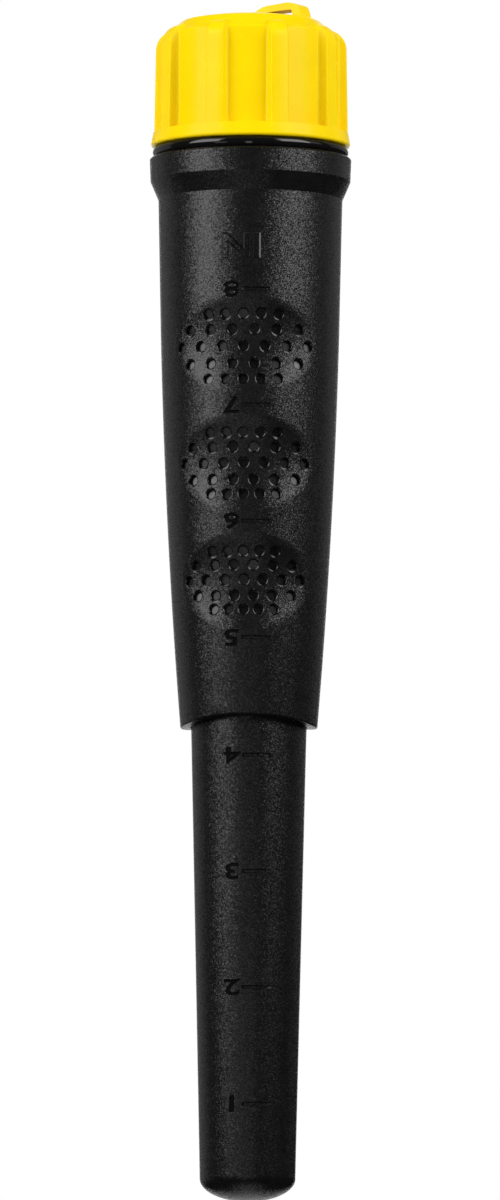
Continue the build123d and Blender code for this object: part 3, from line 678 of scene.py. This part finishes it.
def carry_normals(mesh, source):
    """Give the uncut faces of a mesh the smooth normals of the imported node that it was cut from."""
    points = [vertex.co for vertex in source.vertices]
    tree = surface_of(source)
    corner_normals = [corner.vector.copy() for corner in source.corner_normals]
    normals = [None] * len(mesh.loops)
    for face in mesh.polygons:
        for loop in face.loop_indices:
            normals[loop] = face.normal.copy()
            if face.material_index:
                continue
            corner = mesh.vertices[mesh.loops[loop].vertex_index].co
            place, _, index, _ = tree.find_nearest(corner.lerp(face.center, CORNER_PULL))
            old = source.polygons[index]
            triangle = [points[vertex] for vertex in old.vertices]
            smooth = barycentric_transform(place, *triangle, *[corner_normals[i] for i in old.loop_indices])
            if smooth.dot(face.normal) > SMOOTH_LIMIT:
                normals[loop] = smooth.normalized()
    mesh.normals_split_custom_set(normals)


def cut_shell(name, node, blank, cutters):
    """Piece that stands for a packed black node, with grooves or holes cut into a copy of it."""
    shell = new_object(name, blank)
    cutter = new_object("cutter", merged(cutters))
    for item in (shell, cutter):
        for look in BLACK_ROWS:
            item.data.materials.append(looks[look])
    combine(shell, cutter, "DIFFERENCE")
    carry_normals(shell.data, nodes[node].data)
    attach(shell, "housing")
    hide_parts(node)


def make_handle_shell():
    """Handle with its half of the ruler, the unit mark and the holes of its grips."""
    blank = plugged(nodes["handle_housing"].data)
    surface = surface_of(blank)
    cutters = ruler_cutters(surface, HANDLE_MARKS, True) + hole_cutters(surface)
    cut_shell("handle_shell", "handle_housing", blank, cutters)


def make_probe_shell():
    """Probe with its half of the ruler."""
    blank = merged([nodes["probe_tube"].data])
    marks = [mark for mark in range(1, MARK_COUNT + 1) if mark not in HANDLE_MARKS]
    cutters = ruler_cutters(surface_of(blank), marks, False)
    cut_shell("probe_shell", "probe_tube", blank, cutters)


# Cap

def arc(centre_radius, centre_height, size, start, end, steps):
    """Points of an arc, as radius and height, between two angles in degrees."""
    turns = [radians(start + (end - start) * step / steps) for step in range(steps + 1)]
    return [(centre_radius + size * cos(turn), centre_height + size * sin(turn)) for turn in turns]


def spaced(first, last, count):
    """Evenly spaced values, without the last."""
    return [first + (last - first) * step / count for step in range(count)]


def cap_core():
    """Section of the cap's inside, plug and rim, as radius and height."""
    low = min(vertex.co.z for vertex in nodes["battery_cap"].data.vertices)
    return [
        (AXIS_RADIUS, CAP_CEILING),
        (BAY_RADIUS - CAP_EDGE, CAP_CEILING),
        (BAY_RADIUS, CAP_CEILING - CAP_EDGE),
        (BAY_RADIUS, low + CAP_EDGE),
        (BAY_RADIUS + CAP_EDGE, low),
        (PLUG_RADIUS - CAP_EDGE, low),
        (PLUG_RADIUS, low + CAP_EDGE),
        (PLUG_RADIUS, RIM_LOW),
        (RIM_RADIUS - RIM_EDGE, RIM_LOW),
        *arc(RIM_RADIUS - RIM_EDGE, RIM_LOW + RIM_EDGE, RIM_EDGE, *RIM_ARC, ARC_STEPS),
        (RIB_FOOT_RADIUS + RIM_CHAMFER, RIM_TOP - RIM_CHAMFER),
        (RIB_FOOT_RADIUS, RIM_TOP),
    ]


def cap_panel():
    """Section of a panel between two ribs, from the rim to the cone under the dome."""
    foot = arc(DRUM_RADIUS + FOOT_ROUND, RIM_TOP + FOOT_ROUND, FOOT_ROUND, 270.0, 180.0, ARC_STEPS)
    heights = spaced(RIM_TOP + 2 * FOOT_ROUND, RIB_BEND, SIDE_STEPS)
    heights += spaced(RIB_BEND, DRUM_TOP - DRUM_EDGE, ARC_STEPS)
    top = arc(DRUM_RADIUS - DRUM_EDGE, DRUM_TOP - DRUM_EDGE, DRUM_EDGE, 0.0, DRUM_EDGE_END, ARC_STEPS)
    return foot + [(DRUM_RADIUS, height) for height in heights] + top


def cap_rib():
    """Section of a rib, point for point beside that of a panel."""
    lean = (RIB_FOOT_RADIUS - RIB_BEND_RADIUS) / (RIB_BEND - RIM_TOP)
    straight = cap_panel()[:ARC_STEPS + 1 + SIDE_STEPS]
    side = [(RIB_FOOT_RADIUS - lean * (height - RIM_TOP), height) for _, height in straight]
    centre = RIB_BEND_RADIUS - RIB_SHOULDER
    return side + arc(centre, RIB_BEND, RIB_SHOULDER, 0.0, RIB_SHOULDER_END, 2 * ARC_STEPS)


def cap_dome():
    """Section of the cone and dome on top of the cap."""
    lower = arc(DOME_RADIUS - DOME_EDGE / 2, DOME_EDGE_HEIGHT, DOME_EDGE, *DOME_EDGE_ARC, ARC_STEPS)
    radii = spaced(DOME_RADIUS - DOME_EDGE, AXIS_RADIUS, SIDE_STEPS) + [AXIS_RADIUS]
    dome = [(radius, DOME_TOP - radius ** 2 / (2 * DOME_ROUND)) for radius in radii]
    return [(CONE_RADIUS, CONE_HEIGHT)] + lower + dome


def rib_steps():
    """Angle from a rib's middle and share of its height, from the middle to the next panel's middle."""
    wall = RIB_HALF / RIB_FOOT_RADIUS
    height = RIB_BEND_RADIUS - DRUM_RADIUS
    steps = [(0.0, 1.0), (RIB_FLAT * wall, 1.0)]
    for across, drop in arc(0.0, 0.0, 1.0, 90.0, 0.0, RIB_EDGE_STEPS):
        turn = wall - RIB_EDGE / DRUM_RADIUS * (1 - across)
        steps.append((turn, 1 - RIB_EDGE / height * (1 - drop)))
    for across, rise in arc(0.0, 0.0, 1.0, 0.0, 90.0, RIB_EDGE_STEPS):
        turn = wall + (RIB_DRAFT + RIB_ROOT * (1 - across)) / DRUM_RADIUS
        steps.append((turn, RIB_ROOT / height * (1 - rise)))
    last = steps[-1][0]
    return steps + [(last + share * (pi / RIB_COUNT - last), 0.0) for share in PANEL_SHARES]


def cap_turns():
    """Angle and rib share of every column of the cap's skin."""
    half = rib_steps()
    columns = []
    for rib in range(RIB_COUNT):
        middle = radians(RIB_START) + 2 * pi * rib / RIB_COUNT
        columns += [(middle - turn, share) for turn, share in reversed(half[1:-1])]
        columns += [(middle + turn, share) for turn, share in half]
    return columns


def cap_skin():
    """Closed skin of the cap: rings of points round the axis that swell out at the ribs."""
    sections = [(point, point) for point in cap_core()]
    sections += list(zip(cap_panel(), cap_rib()))
    sections += [(point, point) for point in cap_dome()]
    columns = cap_turns()
    shape = bmesh.new()
    rings = []
    for panel, rib in sections:
        points = []
        for turn, share in columns:
            radius = panel[0] + share * (rib[0] - panel[0])
            height = panel[1] + share * (rib[1] - panel[1])
            points.append(shape.verts.new((radius * sin(turn), -radius * cos(turn), height)))
        rings.append(points)
    bridge(shape, rings)
    return finished(shape)


def rounded(corners):
    """Outline of a polygon, each corner given with its own rounding radius."""
    outline = []
    for index, (place, radius) in enumerate(corners):
        corner = Vector(place)
        before = (Vector(corners[index - 1][0]) - corner).normalized()
        after = (Vector(corners[(index + 1) % len(corners)][0]) - corner).normalized()
        half = before.angle(after) / 2
        first = corner + before * radius / tan(half)
        last = corner + after * radius / tan(half)
        for step in range(ARC_STEPS + 1):
            share = step / ARC_STEPS
            outline.append(first.lerp(corner, share).lerp(corner.lerp(last, share), share))
    return outline


def fin_mesh():
    """Fin on the dome, with a slot that the dome closes from below."""
    outline = rounded(FIN_CORNERS)
    turn = radians(FIN_ANGLE)
    along = Vector((sin(turn), -cos(turn), 0.0))
    across = Vector((cos(turn), sin(turn), 0.0))
    shape = bmesh.new()
    sides = []
    for side in (-FIN_THICKNESS / 2, FIN_THICKNESS / 2):
        points = [place.x * along + side * across + Vector((0.0, 0.0, place.y)) for place in outline]
        sides.append([shape.verts.new(point) for point in points])
    bridge(shape, sides)
    ends = [face for face in shape.faces if len(face.verts) == len(outline)]
    edges = list({edge for face in ends for edge in face.edges})
    bmesh.ops.bevel(
        shape, geom=edges, offset=FIN_EDGE, segments=FIN_EDGE_STEPS, profile=ROUND_PROFILE,
        affect="EDGES", clamp_overlap=True,
    )
    bmesh.ops.triangulate(shape, faces=[face for face in shape.faces if len(face.verts) > 4])
    return finished(shape)


def make_cap_shell():
    """Cap with soft ribs, and its fin."""
    shell = new_object("cap_shell", cap_skin())
    fin = new_object("fin", fin_mesh())
    for item in (shell, fin):
        item.data.materials.append(looks["gloss_yellow"])
    combine(shell, fin, "UNION")
    mesh = shell.data
    mesh.shade_smooth()
    mesh.set_sharp_from_angle(angle=radians(CAP_SHARP))
    weigh = shell.modifiers.new("weigh", "WEIGHTED_NORMAL")
    weigh.keep_sharp = True
    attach(shell, "cap")
    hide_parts("battery_cap")


# Thread and foam disc of the cap

def add_piece(name, mesh, look, body):
    """A smooth piece that rides on a body."""
    mesh.materials.append(looks[look])
    mesh.shade_smooth()
    piece = new_object(name, mesh)
    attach(piece, body)
    return piece


def make_thread():
    """Right-hand thread ridge on the cap's plug, thinning out at both ends."""
    count = int(THREAD_TURNS * THREAD_STEPS)
    shape = bmesh.new()
    rows = []
    for step in range(count + 1):
        turn = 2 * pi * step / THREAD_STEPS
        fade = min(1.0, step / THREAD_RUN, (count - step) / THREAD_RUN)
        crest = PLUG_RADIUS + fade * THREAD_HEIGHT
        middle = THREAD_LOW + THREAD_LEAD * turn / (2 * pi)
        section = (
            (THREAD_ROOT, -THREAD_WIDTH),
            (crest, -THREAD_CREST),
            (crest, THREAD_CREST),
            (THREAD_ROOT, THREAD_WIDTH),
        )
        points = [(radius * cos(turn), radius * sin(turn), middle + rise) for radius, rise in section]
        rows.append([shape.verts.new(point) for point in points])
    bridge(shape, rows)
    mesh = finished(shape)
    add_piece("cap_thread", mesh, "gloss_yellow", "cap")
    mesh.set_sharp_from_angle(angle=radians(THREAD_SHARP))


def make_pad():
    """Foam disc with rounded edges under the cap's ceiling."""
    packed = [vertex.co for vertex in nodes["battery_pad"].data.vertices]
    middle = max(point.x for point in packed) - PAD_EDGE
    bottom = min(point.z for point in packed) + PAD_EDGE
    top = max(point.z for point in packed) - PAD_EDGE
    section = arc(middle, bottom, PAD_EDGE, -90.0, 0.0, PAD_STEPS)
    section += arc(middle, top, PAD_EDGE, 0.0, 90.0, PAD_STEPS)
    shape = bmesh.new()
    bridge(shape, [ring(shape, radius, height, PAD_SIDES) for radius, height in section])
    pad = add_piece("foam_disc", finished(shape), "pad_foam", "cap")
    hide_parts("battery_pad")


# Stage, light and camera

def white_rays(tree):
    """1 for the rays that show the white backdrop, 0 for the rest."""
    path = tree.nodes.new("ShaderNodeLightPath")
    total = path.outputs["Is Camera Ray"]
    for name in ("Is Glossy Ray", "Is Transmission Ray"):
        joined = tree.nodes.new("ShaderNodeMath")
        joined.operation = "MAXIMUM"
        tree.links.new(total, joined.inputs[0])
        tree.links.new(path.outputs[name], joined.inputs[1])
        total = joined.outputs[0]
    return total


def make_world():
    """White backdrop for the eye, and an even ambient light."""
    world = bpy.data.worlds.new("studio")
    bpy.context.scene.world = world
    world.use_nodes = True
    tree = world.node_tree
    fill = tree.nodes["Background"]
    fill.inputs["Color"].default_value = (AMBIENT, AMBIENT, AMBIENT, 1.0)
    backdrop = tree.nodes.new("ShaderNodeBackground")
    backdrop.inputs["Color"].default_value = (1.0, 1.0, 1.0, 1.0)
    mix = tree.nodes.new("ShaderNodeMixShader")
    tree.links.new(white_rays(tree), mix.inputs["Fac"])
    tree.links.new(fill.outputs[0], mix.inputs[1])
    tree.links.new(backdrop.outputs[0], mix.inputs[2])
    tree.links.new(mix.outputs[0], tree.nodes["World Output"].inputs["Surface"])


def make_floor():
    """Pale floor that fades into the white backdrop."""
    shape = bmesh.new()
    bmesh.ops.create_circle(shape, cap_ends=True, segments=FLOOR_SEGMENTS, radius=FLOOR_RADIUS)
    mesh = bpy.data.meshes.new("floor")
    shape.to_mesh(mesh)
    shape.free()
    floor = new_object("floor", mesh)
    floor.location.z = cad_low.z - FLOOR_DROP
    material = new_material("pale_floor", FLOOR_COLOUR, FLOOR_ROUGHNESS)
    mesh.materials.append(material)
    tree = material.node_tree
    distance = add_node(material, "ShaderNodeVectorMath", operation="LENGTH")
    connect(material, object_point(material), distance.inputs[0])
    fade = spread(material, distance.outputs["Value"], 0.0, 1.0, SWEEP_START, SWEEP_END)
    seen = add_node(material, "ShaderNodeMath", operation="MULTIPLY")
    connect(material, fade, seen.inputs[0])
    connect(material, white_rays(tree), seen.inputs[1])
    white = add_node(material, "ShaderNodeEmission")
    mix = add_node(material, "ShaderNodeMixShader")
    connect(material, seen.outputs[0], mix.inputs["Fac"])
    connect(material, tree.nodes["Principled BSDF"].outputs[0], mix.inputs[1])
    connect(material, white.outputs[0], mix.inputs[2])
    connect(material, mix.outputs[0], tree.nodes["Material Output"].inputs["Surface"])


def make_surround():
    """Dark studio wall, ceiling and floor apron, which only show as reflections."""
    mesh = bpy.data.meshes.new("surround")
    foot = cad_low.z - FLOOR_DROP
    points = []
    for step in range(SURROUND_STEPS + 1):
        turn = radians(VIEW_AZIMUTH - SURROUND_HALF_ANGLE + 2 * SURROUND_HALF_ANGLE * step / SURROUND_STEPS)
        away = Vector((sin(turn), -cos(turn), 0.0))
        outer = away * SURROUND_RADIUS
        points += [away * APRON_RADIUS + Vector((0.0, 0.0, foot + APRON_RISE))]
        points += [outer + Vector((0.0, 0.0, foot + APRON_RISE)), outer + Vector((0.0, 0.0, SURROUND_TOP))]
    faces = []
    for step in range(0, 3 * SURROUND_STEPS, 3):
        faces += [(step, step + 1, step + 4, step + 3), (step + 1, step + 2, step + 5, step + 4)]
    faces.append(tuple(3 * step + 2 for step in range(SURROUND_STEPS + 1)))
    mesh.from_pydata(points, [], faces)
    mesh.materials.append(new_material("dark_wall", SURROUND_COLOUR, 1.0))
    surround = new_object("surround", mesh)
    surround.visible_camera = False
    surround.visible_diffuse = False
    surround.visible_transmission = False
    surround.visible_shadow = False


def softbox(name, azimuth, distance, middle, width, height, radiance):
    """Upright rectangular soft light of a given radiance, turned to the part's axis."""
    light = bpy.data.lights.new(name, "AREA")
    light.shape = "RECTANGLE"
    light.size = width
    light.size_y = height
    light.energy = radiance * pi * width * height
    lamp = new_object(name, light)
    turn = radians(VIEW_AZIMUTH + azimuth)
    away = Vector((sin(turn), -cos(turn), 0.0))
    lamp.location = away * distance
    lamp.location.z = middle
    lamp.rotation_euler = (-away).to_track_quat("-Z", "Y").to_euler()
    lamp.visible_camera = False


def make_camera():
    """Long lens on the photograph's side of the part."""
    data = bpy.data.cameras.new("camera")
    data.sensor_width = SENSOR
    data.lens = SENSOR * CAMERA_DISTANCE * PIXELS_PER_METRE / PHOTO_HEIGHT
    data.clip_end = 2 * CAMERA_DISTANCE + FLOOR_RADIUS
    camera = new_object("camera", data)
    turn = radians(VIEW_AZIMUTH)
    rise = radians(VIEW_ELEVATION)
    back = Vector((sin(turn) * cos(rise), -cos(turn) * cos(rise), sin(rise)))
    camera.location = (cad_low + cad_high) / 2 + AIM_SHIFT + back * CAMERA_DISTANCE
    aimed = (-back).to_track_quat("-Z", "Y").to_matrix().to_4x4()
    camera.rotation_euler = (aimed @ Matrix.Rotation(radians(VIEW_ROLL), 4, "Z")).to_euler()
    bpy.context.scene.camera = camera


dress_nodes()
make_handle_shell()
make_probe_shell()
make_cap_shell()
make_thread()
make_pad()
make_world()
make_floor()
make_surround()
for box_name, box in SOFT_BOXES.items():
    softbox(box_name, **box)
make_camera()
bpy.context.scene.view_settings.view_transform = "Standard"
